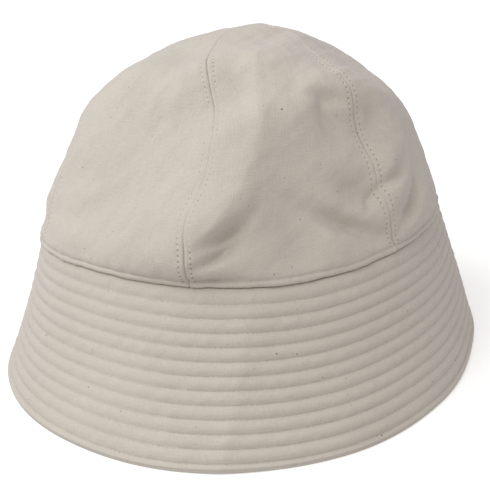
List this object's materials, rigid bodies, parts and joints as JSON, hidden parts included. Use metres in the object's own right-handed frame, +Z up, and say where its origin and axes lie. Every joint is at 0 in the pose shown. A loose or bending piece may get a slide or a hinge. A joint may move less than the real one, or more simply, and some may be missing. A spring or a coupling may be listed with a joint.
{
  "type": "sailor cap",
  "caption": "Cream cotton canvas sailor cap with a soft panelled crown and a full, down-turned brim quilted by rows of stitching",
  "frame": {"origin": "on the surface the cap rests on, below the middle of the cap's bounding box", "axes": "+Z up through the crown, -Y towards the cap's front, +X towards its right as it is looked at from the front"},
  "size_m": [0.2386, 0.2444, 0.1598],
  "materials": {
    "brim_canvas": "unbleached cotton canvas, matte, quilted by rows of stitching",
    "crown_canvas": "unbleached cotton canvas, matte, with small dark seed flecks"
  },
  "bodies": {
    "root": {"brim": "brim_canvas", "crown_panel_front": "crown_canvas", "crown_panel_front_right": "crown_canvas", "crown_panel_back_right": "crown_canvas", "crown_panel_back": "crown_canvas", "crown_panel_back_left": "crown_canvas", "crown_panel_front_left": "crown_canvas"}
  },
  "joints": []
}
